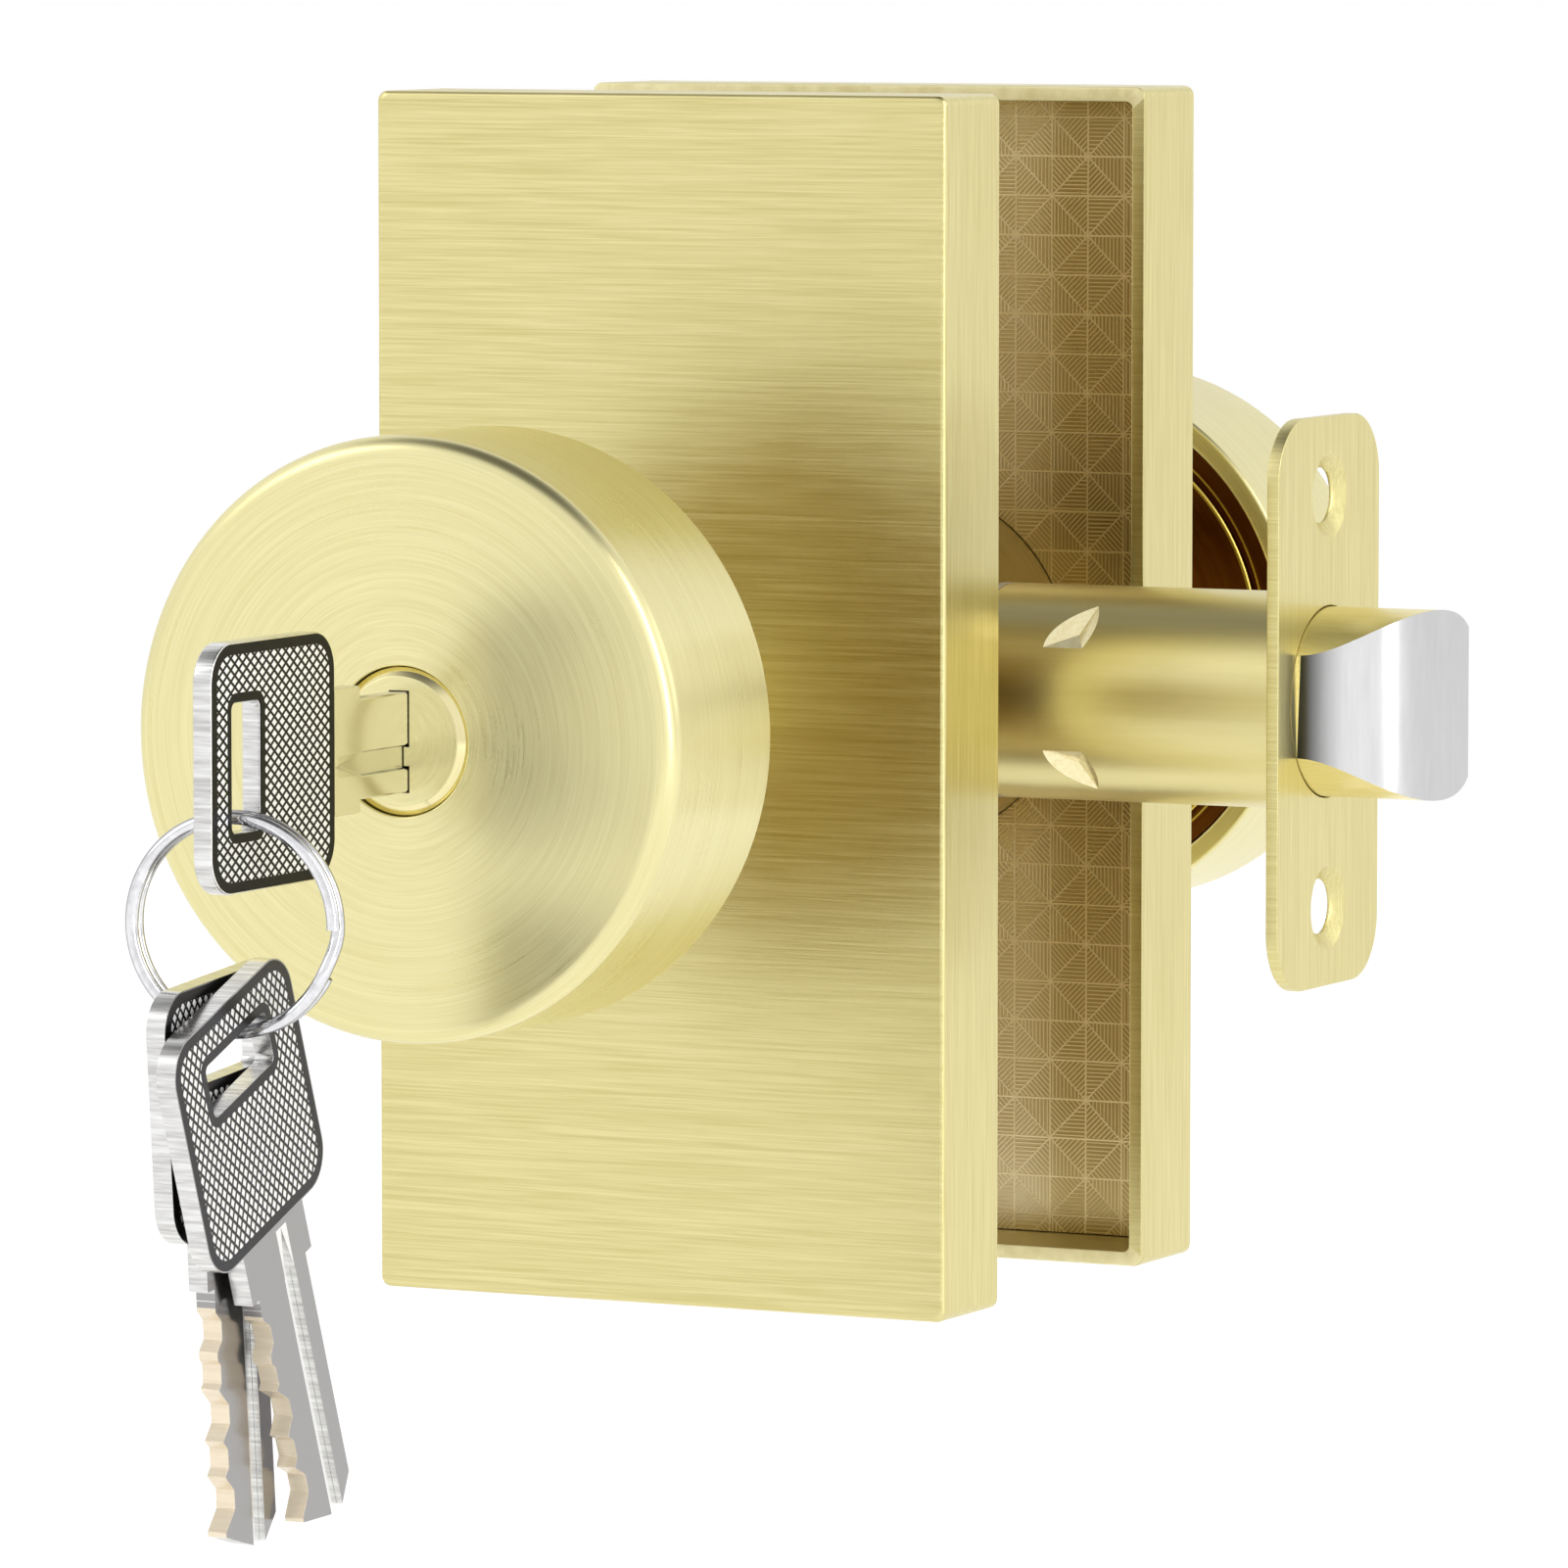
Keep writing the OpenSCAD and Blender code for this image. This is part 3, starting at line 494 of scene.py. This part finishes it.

# The cover's lacquer is dark, with painted highlights in gold along the two edges of its gap.
cover_bore, disc_r, gap_r, cover_r = 10.1, 24.3, 24.75, 26.7
disc_y, rim_ring_y, gap_y, cover_back_y = 63.9, 64.5, 65.1, 65.4
dark_bronze, tree, shader, place = metal("dark_bronze")
marks = put(tree, "Group", {0: place, 1: 1.5, 2: 2500.0}, node_tree=turned_strokes)
colour = surface(tree, shader, place, (0.19, 0.072, 0.017, 1), (0.13, 0.042, 0.01, 1), marks.outputs["Tone"],
                 marks.outputs["Height"], 0.12, 0.04, 0.12)
reach = reach_from_axis(tree, put(tree, "SeparateXYZ", {0: place}))
# Painted highlight: two thin gold rings on the edges of the gap.
edge_in = calc(tree, "COMPARE", reach, (disc_r - 0.25) * mm, 0.22 * mm)
edge_out = calc(tree, "COMPARE", reach, (gap_r + 0.2) * mm, 0.12 * mm)
painted_edge_highlight = put(tree, "MixRGB", {0: calc(tree, "MAXIMUM", edge_in, edge_out), 1: colour, 2: (0.72, 0.56, 0.14, 1)})
tree.links.new(painted_edge_highlight.outputs[0], shader.inputs["Base Color"])


def knob_cover(name, side, material):
    """The cover in a knob's back: a raised disc inside a lower ring, with a gap between."""
    return settle(turned(name, [
        (cover_bore, cover_back_y, 0), (cover_bore, disc_y, 0.2), (disc_r, disc_y, 0.3), (disc_r, gap_y, 0),
        (gap_r, gap_y, 0), (gap_r, rim_ring_y, 0.15), (cover_r, rim_ring_y, 0.1),
        (cover_r, cover_back_y, 0.1)], material, side))


fit(knob_cover("exterior_knob_cover", -1, warm_brass), "exterior_knob", "warm_brass", "exterior_knob_back")
fit(knob_cover("interior_knob_cover", 1, dark_bronze), "interior_knob", "dark_bronze", "interior_knob_back")

tube_brass = stroked_metal("tube_brass", (120, 2600, 2600), (0.77, 0.685, 0.34, 1), (0.74, 0.655, 0.31, 1),
                           0.33, 0.01, 0.01, 45.0)[0]
finish(tube_brass, "exterior_neck", "interior_neck")


# ---- Lock cylinder ----
# A turned brass plug sits in the knob, in its housing, with a wide chamfered face and a milled keyway.
# It turns with the key and drives the flat tailpiece.
def cut(piece, *cutters):
    """Takes the cutters' shapes out of a piece."""
    for cutter in cutters:
        saw = piece.modifiers.new("cut", "BOOLEAN")
        saw.operation, saw.solver, saw.object = "DIFFERENCE", "EXACT", cutter
    apply_all(piece)
    for cutter in cutters:
        bpy.data.objects.remove(cutter)


def block(low, high):
    """A cutter: a plain box between two corners in millimetres."""
    shape = bmesh.new()
    corners = [shape.verts.new((x * mm, y * mm, z * mm)) for x in (low[0], high[0]) for y in (low[1], high[1])
               for z in (low[2], high[2])]
    bmesh.ops.convex_hull(shape, input=corners)
    return new_piece("cutter", shape, satin_brass)


plug_face_y, plug_end_y = (-end.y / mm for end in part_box("cylinder_plug"))
plug_r, plug_face_r, plug_step_y = 6.15, 7.1, 82.4
plug_body = turned("cylinder_plug_body", [
    (0, plug_end_y, 0), (0, plug_face_y, 0), (plug_face_r - 0.85, plug_face_y, 0.1),
    (plug_face_r, plug_face_y - 0.7, 0.08), (plug_face_r, plug_step_y, 0), (plug_r, plug_step_y, 0),
    (plug_r, plug_end_y, 0.2)], knob_brass, -1)
# The keyway is open on both sides of a ward that stands in the key's groove.
way_front, way_back, way_side, way_half, ward_x, ward_low, ward_high = -86, -58.5, 1.1, 4.9, 0.5, -2.3, -0.5
cut(plug_body, *(block((x_low, way_front, z_low), (x_high, way_back, z_high))
                 for x_low, x_high, z_low, z_high in ((-way_side, ward_x, -way_half, way_half),
                                                      (0, way_side, ward_high, way_half),
                                                      (0, way_side, -way_half, ward_low))))
settle(plug_body, 25)
plug_body.data.materials.append(turned_metal("cut_brass", (0.88, 0.80, 0.46, 1), (0.82, 0.73, 0.38, 1), 0.10,
                                             bump=0.05, spread=0.0))
for face in plug_body.data.polygons:
    if 0.3 < -face.normal.y < 0.95 and -face.center.y / mm > plug_step_y + 1.1:
        face.material_index = 1
fit(plug_body, "plug", "satin_brass", "cylinder_plug")
finish(warm_brass, "cylinder_housing", "interior_core")


# ---- Keys ----
# Three nickel-plated keys, stamped flat. The bow's faces have a raised diamond grip in a dark border,
# and the blade has a milled groove and cuts that show the brass under the plating.
diamond_net, inlet, outlet = new_group(
    "diamond_net", (("Along", "Float", 0.0), ("Across", "Float", 0.0), ("Fill", "Float", 0.33)),
    (("Mask", "Float"), ("Height", "Float")))
slants = (calc(diamond_net, way, inlet["Along"], inlet["Across"]) for way in ("ADD", "SUBTRACT"))
off_first, off_second = (calc(diamond_net, "ABSOLUTE", from_mid(diamond_net, slant)) for slant in slants)
inside = calc(diamond_net, "SUBTRACT", inlet["Fill"], calc(diamond_net, "MAXIMUM", off_first, off_second))
for label, low, high in (("Mask", -0.03, 0.03), ("Height", -0.06, 0.12)):
    diamond_net.links.new(put(diamond_net, "MapRange", {0: inside, 1: low, 2: high}).outputs[0], outlet[label])

bow_l, bow_w, bow_corner, shoulder_l, blade_w = 23.8, 23.4, 3.8, 5.0, 9.6
slot_in, slot_l, slot_w = 4.0, 5.3, 12.1
diamond_l, diamond_w, groove_v, groove_half = 1.5, 1.08, 1.4, 1.02
# The plan is kept in each key's map as tenths of a metre, with v lifted by half of that.
# Its edges are marked past the plan's ends: the cut edge above and the others below.
plan_unit, plan_mid, off_plan = 100.0, 50.0, 30.0


def box_distance(tree, u, v, mid, half_u, half_v, corner):
    """How far a place lies outside a rounded box, in millimetres."""
    a = calc(tree, "SUBTRACT", calc(tree, "ABSOLUTE", calc(tree, "SUBTRACT", u, mid)), half_u - corner)
    b = calc(tree, "SUBTRACT", calc(tree, "ABSOLUTE", v), half_v - corner)
    pa, pb = calc(tree, "MAXIMUM", a, 0.0), calc(tree, "MAXIMUM", b, 0.0)
    outside = calc(tree, "SQRT", calc(tree, "ADD", calc(tree, "MULTIPLY", pa, pa), calc(tree, "MULTIPLY", pb, pb)))
    within = calc(tree, "MINIMUM", calc(tree, "MAXIMUM", a, b), 0.0)
    return calc(tree, "SUBTRACT", calc(tree, "ADD", outside, within), corner)


def key_finish(name, face_tone, groove_tone, cut_tone, border):
    """Nickel plate with a diamond grip on the bow, a groove in a tone of its own and warm cuts."""
    made, tree, shader, place = metal(name)
    local = put(tree, "SeparateXYZ", {0: put(tree, "UVMap", uv_map="key_plan").outputs[0]})
    key_u = calc(tree, "MULTIPLY", local.outputs[0], plan_unit)
    key_v = calc(tree, "SUBTRACT", calc(tree, "MULTIPLY", local.outputs[1], plan_unit), plan_mid)
    on_face = calc(tree, "LESS_THAN", calc(tree, "ABSOLUTE", key_v), off_plan - 10)
    from_bow = box_distance(tree, key_u, key_v, bow_l / 2, bow_l / 2, bow_w / 2, bow_corner)
    from_slot = box_distance(tree, key_u, key_v, slot_in + slot_l / 2, slot_l / 2, slot_w / 2, 0.7)
    on_bow = calc(tree, "MULTIPLY", calc(tree, "LESS_THAN", from_bow, -0.15), on_face)
    in_grip = calc(tree, "MULTIPLY", calc(tree, "LESS_THAN", from_bow, -1.15),
                   calc(tree, "GREATER_THAN", from_slot, 0.95))
    net_u, net_v = calc(tree, "DIVIDE", key_u, diamond_l), calc(tree, "DIVIDE", key_v, diamond_w)
    grip = put(tree, "Group", {0: net_u, 1: net_v, 2: 0.325}, node_tree=diamond_net)
    stud = calc(tree, "MULTIPLY", calc(tree, "MULTIPLY", grip.outputs["Mask"], in_grip), on_bow)
    plating = put(tree, "Group", {0: place, 1: (250, 3500, 3500)}, node_tree=straight_strokes)
    nickel = put(tree, "MixRGB", {0: plating.outputs["Tone"], 1: (0.55, 0.54, 0.53, 1), 2: (0.86, 0.86, 0.85, 1)})
    in_groove = calc(tree, "MULTIPLY", calc(tree, "COMPARE", key_v, groove_v, groove_half),
                     calc(tree, "GREATER_THAN", key_u, bow_l + 0.5))
    plain_face = put(tree, "MixRGB", {0: in_groove, 1: face_tone, 2: groove_tone})
    nickel = put(tree, "MixRGB", {0: on_face, 1: nickel.outputs[0], 2: plain_face.outputs[0]})
    warm_cut = calc(tree, "MULTIPLY", calc(tree, "GREATER_THAN", key_v, off_plan - 10),
                    calc(tree, "GREATER_THAN", key_u, bow_l + shoulder_l))
    nickel = put(tree, "MixRGB", {0: calc(tree, "MULTIPLY", warm_cut, 0.75), 1: nickel.outputs[0], 2: cut_tone})
    bordered = put(tree, "MixRGB", {0: on_bow, 1: nickel.outputs[0], 2: border})
    gripped = put(tree, "MixRGB", {0: stud, 1: bordered.outputs[0], 2: (0.88, 0.88, 0.88, 1)})
    tree.links.new(gripped.outputs[0], shader.inputs["Base Color"])
    marks = put(tree, "Group", {0: place, 1: 90.0}, node_tree=handling)
    clean = calc(tree, "MULTIPLY_ADD", on_bow, 0.12, 0.17)
    tree.links.new(calc(tree, "MULTIPLY_ADD", marks.outputs["Smudge"], 0.08, clean), shader.inputs["Roughness"])
    studs_rise = calc(tree, "MULTIPLY", grip.outputs["Height"], calc(tree, "MULTIPLY", in_grip, on_bow))
    rise = calc(tree, "MULTIPLY_ADD", studs_rise, 4.0, calc(tree, "MULTIPLY", plating.outputs["Height"], 0.35))
    relief = put(tree, "Bump", {"Strength": 0.45, "Distance": 0.03 * mm, "Height": rise})
    tree.links.new(relief.outputs[0], shader.inputs["Normal"])
    bare = calc(tree, "MAXIMUM", stud, calc(tree, "MULTIPLY", warm_cut, 0.8))
    tree.links.new(calc(tree, "MULTIPLY_ADD", bare, -0.75, 1.0), shader.inputs["Metallic"])
    return made


bright_key = key_finish("key_nickel_bright", (0.84, 0.82, 0.74, 1), (0.74, 0.72, 0.62, 1),
                        (0.72, 0.68, 0.54, 1), (0.012, 0.012, 0.016, 1))
# The spare keys' faces are darker and their grooves paler than the inserted key's.
dark_face_key = key_finish("key_nickel_dark_face", (0.37, 0.36, 0.355, 1), (0.90, 0.90, 0.88, 1), (0.86, 0.72, 0.50, 1),
                      (0.055, 0.053, 0.056, 1))


def eased(name, node, material, width, steps=2, whole=None):
    """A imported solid's shape as a new piece, with its sharp edges eased.

    whole, two limits along Y and two along Z, lifts an edge's cuts between them to the upper Z.
    """
    shape = bmesh.new()
    shape.from_mesh(nodes[node].data)
    bmesh.ops.remove_doubles(shape, verts=shape.verts, dist=1e-6)
    for point in shape.verts if whole else ():
        if whole[0] < point.co.y / mm < whole[1] and whole[2] < point.co.z / mm < whole[3]:
            point.co.z = whole[3] * mm
    bmesh.ops.dissolve_limit(shape, angle_limit=math.radians(0.3), verts=shape.verts, edges=shape.edges)
    piece = new_piece(name, shape, material)
    ease = piece.modifiers.new("ease", "BEVEL")
    ease.width, ease.segments, ease.use_clamp_overlap = width * mm, steps, True
    ease.limit_method, ease.angle_limit = "ANGLE", math.radians(32)
    return settle(piece)


def key_place(x, y, z, turn, back_u, back_v):
    """Where a key's own plan lies: u along it from the bow, v across it."""
    return (Matrix.Translation(Vector((x, y, z)) * mm) @ turn
            @ Matrix.Translation(Vector((0, -back_u, -back_v)) * mm))


def lay_plan(piece, frame_place):
    """Writes each face corner's u and v on the key into its map."""
    back = frame_place.inverted()
    lay = piece.data.uv_layers.new(name="key_plan")
    turn = back.to_3x3()
    for face in piece.data.polygons:
        flat = abs((turn @ face.normal).x) > 0.5
        for corner in face.loop_indices:
            point = back @ piece.data.vertices[piece.data.loops[corner].vertex_index].co / mm
            on_cuts = point.z < -1.5 and point.y > bow_l + shoulder_l + 0.2
            v = point.z if flat else (off_plan if on_cuts else -off_plan)
            lay.data[corner].uv = (point.y / plan_unit, (v + plan_mid) / plan_unit)


# The inserted key's bow ends at bow_y. The spare keys hang from the ring at hang_y and hang_z, each leaning a
# little, from a point in the bow's slot.
bow_y, hang_y, hang_z, hang_u = -123.0, -116.95, -24.65, 5.4
edge_in_front = (-93.8, -84.62, 3.0, blade_w / 2)
for body, node, material, whole, set_at in (
        ("key", "inserted_key", bright_key, edge_in_front,
         key_place(0, bow_y, 0, Matrix.Rotation(math.pi, 4, "Y"), 0, 0)),
        ("spare_a", "spare_key_a", dark_face_key, None,
         key_place(1.4, hang_y, hang_z, Matrix.Rotation(math.radians(21 - 90), 4, "X"), hang_u, 4.113)),
        ("spare_b", "spare_key_b", dark_face_key, None,
         key_place(-1.4, hang_y, hang_z, Matrix.Rotation(math.radians(5 - 90), 4, "X"), hang_u, 0.686))):
    key = eased(node + "_stamped", node, material, 0.22, 2, whole)
    lay_plan(key, set_at)
    fit(key, body, "key_nickel", node)


# ---- Key ring ----
# A split ring of polished steel wire, wound twice, with a short crossing where one turn passes to the other.
# Its two cut ends stop on either side of the crossing.
ring_y, ring_z, ring_r, wire_r, ring_turn = -116.95, -14.65, 10.0, 0.64, math.radians(8)
ring_chrome, tree, shader, place, colour = stroked_metal(
    "ring_chrome", (1500, 1500, 1500), (0.86, 0.86, 0.88, 1), (0.70, 0.70, 0.72, 1), 0.09, 0.04, 0.06, 200.0)
# Painted reflection: the wire's colour is darkened where it turns away from the view.
facing = put(tree, "LayerWeight", {"Blend": 0.5}).outputs["Facing"]
painted_flank_mask = put(tree, "MapRange", {0: facing, 1: 0.30, 2: 0.75}, interpolation_type="SMOOTHSTEP").outputs[0]
painted_flank_colour = put(tree, "MixRGB", {0: painted_flank_mask, 1: colour, 2: (0.24, 0.24, 0.27, 1)})
tree.links.new(painted_flank_colour.outputs[0], shader.inputs["Base Color"])
wire = bpy.data.curves.new("split_ring", "CURVE")
wire.dimensions, wire.bevel_depth, wire.bevel_resolution, wire.use_fill_caps = "3D", wire_r * mm, 5, True
# Degrees that the crossing takes, where its middle lies, degrees between points, and each turn's shift.
cross, start, step, lift = 26, -14, 3, 0.63
angles = [start + cross / 2 + i * step for i in range(int((720 - cross) / step) + 1)]
turns = wire.splines.new("POLY")
turns.points.add(len(angles) - 1)
for point, angle in zip(turns.points, angles):
    w = min(max((angle - (start + 360 - cross / 2)) / cross, 0.0), 1.0)
    side = lift * (2 * (w * w * (3 - 2 * w)) - 1)
    a = math.radians(angle)
    flat = Vector((ring_r * math.cos(a), side, ring_r * math.sin(a)))
    flat.rotate(Matrix.Rotation(ring_turn, 3, "Z"))
    point.co = (*((flat + Vector((0, ring_y, ring_z))) * mm), 1)
ring_curve = bpy.data.objects.new("split_ring_curve", wire)
bpy.context.scene.collection.objects.link(ring_curve)
graph = bpy.context.evaluated_depsgraph_get()
shape = bmesh.new()
shape.from_mesh(bpy.data.meshes.new_from_object(ring_curve.evaluated_get(graph)))
bpy.data.objects.remove(ring_curve)
bmesh.ops.remove_doubles(shape, verts=shape.verts, dist=1e-7)
fit(settle(new_piece("split_ring", shape, ring_chrome), 50), "ring", "ring_chrome", "key_ring")


# ---- Latch ----
# A drawn brass tube is crimped on the latch case and staked to the brushed faceplate.
# The bolt is plated brass with a bright chrome nose, and a steel plunger slides beside its flat.
tube_start, tube_end, tube_outer, tube_inner = 25.0, 58.7, 10.9, 10.0
crimp_low, crimp_corners, crimp_flare = (36.1, 6.95, 0.84), ((32.9, 5.2), (37.2, 5.2), (37.3, 9.2)), 1.8
tube = turned("latch_tube_body", [(tube_inner, tube_start, 0), (tube_outer, tube_start, 0.25),
                                  (tube_outer, tube_end, 0), (tube_inner, tube_end, 0)],
              tube_brass, axis="X", steps=240)


def crimp(side):
    """A cutter for one crimp: a leaning wedge that flares outward past three corners on the tube's skin."""
    def on_tube(x, z, depth):
        y = -math.sqrt(tube_outer ** 2 - z ** 2)
        return Vector((x, 0, 0)) + Vector((0, y, side * z)) * ((tube_outer - depth) / tube_outer)

    low = on_tube(*crimp_low)
    flared = [low + (on_tube(x, z, 0) - low) * crimp_flare for x, z in crimp_corners]
    shape = bmesh.new()
    bmesh.ops.convex_hull(shape, input=[shape.verts.new(point * mm) for point in [low] + flared])
    return new_piece("cutter", shape, tube_brass)


cut(tube, crimp(1), crimp(-1))
settle(tube, 9)
# The crimps' flanks are bright where the punch slid, and the end wall of each is given darker brass as a painted
# shadow.
crimp_brass, tree, shader, place, colour = stroked_metal(
    "crimp_brass", (2600, 600, 2600), (0.98, 0.90, 0.58, 1), (0.88, 0.78, 0.44, 1), 0.15, 0.04, 0.1)
shader.inputs["Metallic"].default_value = 0.75
tube.data.materials.append(crimp_brass)
tube.data.materials.append(warm_brass)
for face in tube.data.polygons:
    in_reach = 32 < face.center.x / mm < 38 and 4 < abs(face.center.z) / mm < 10 and face.center.y < 0
    if in_reach and tube_inner + 0.02 < math.hypot(face.center.y, face.center.z) / mm < tube_outer - 0.03:
        # End walls take the darker warm brass as a painted shadow.
        face.material_index = 2 if face.normal.x < -0.5 else 1
fit(tube, "lock_frame", "tube_brass", "latch_tube")
fit(eased("latch_faceplate_plate", "latch_faceplate", satin_brass, 0.18), "lock_frame", "satin_brass",
    "latch_faceplate")

# The nose is the round side of a standing cylinder, from the faceplate's level out. Its colour holds a painted
# shadow near the plate and a painted shade band further out.
nose_x, nose_y, nose_r, nose_from_x = 60, 4.67, 12.7, 60.15
bolt_brass = stroked_metal("bolt_brass", (300, 3000, 3000), (0.95, 0.87, 0.50, 1), (0.88, 0.79, 0.42, 1),
                           0.34, 0.04, 0.08)[0]
nose_chrome, tree, shader, place, colour = stroked_metal(
    "nose_chrome", (3000, 3000, 300), (0.74, 0.74, 0.74, 1), (0.69, 0.69, 0.69, 1), 0.20, 0.04, 0.1)
along_nose = put(tree, "SeparateXYZ", {0: place}).outputs[0]
# Painted shadow: the nose colour falls to near black toward the plate. Painted shade: a darker band past 66 mm.
from_plate = put(tree, "MapRange", {0: along_nose, 1: 60.0 * mm, 2: 65.2 * mm},
                 interpolation_type="SMOOTHSTEP").outputs[0]
painted_shade_band = put(tree, "MapRange", {0: along_nose, 1: 66.0 * mm, 2: 68.5 * mm, 3: 1.0, 4: 0.80},
               interpolation_type="SMOOTHSTEP").outputs[0]
painted_band_colour = put(tree, "MixRGB", {0: 1.0, 1: colour, 2: painted_shade_band}, blend_type="MULTIPLY")
painted_plate_shadow = put(tree, "MixRGB", {0: from_plate, 1: (0.035, 0.035, 0.032, 1), 2: painted_band_colour.outputs[0]})
tree.links.new(painted_plate_shadow.outputs[0], shader.inputs["Base Color"])
bolt = eased("latch_bolt_body", "latch_bolt", bolt_brass, 0.3, 3)
bolt.data.materials.append(nose_chrome)
for face in bolt.data.polygons:
    off = math.hypot(face.center.x / mm - nose_x, face.center.y / mm - nose_y)
    if face.center.x > nose_from_x * mm and (off > nose_r - 0.2 or face.normal.x > 0.9):
        face.material_index = 1
fit(bolt, "bolt", "bolt_brass", "latch_bolt")
finish(ring_chrome, "deadlatch_plunger")
finish(zinc_steel, "latch_case", "bolt_stem")
finish(warm_brass, "latch_cam")


# ---- Turn button ----
# The inside knob carries a small cast button with a thumb bar, in the same satin brass as the knob.
# It turns the flat tailpiece through its stem, and its edges are eased for the fingers.
fit(eased("turn_button_body", "turn_button", knob_brass, 0.45, 3), "privacy_turn", "satin_brass",
    "turn_button")
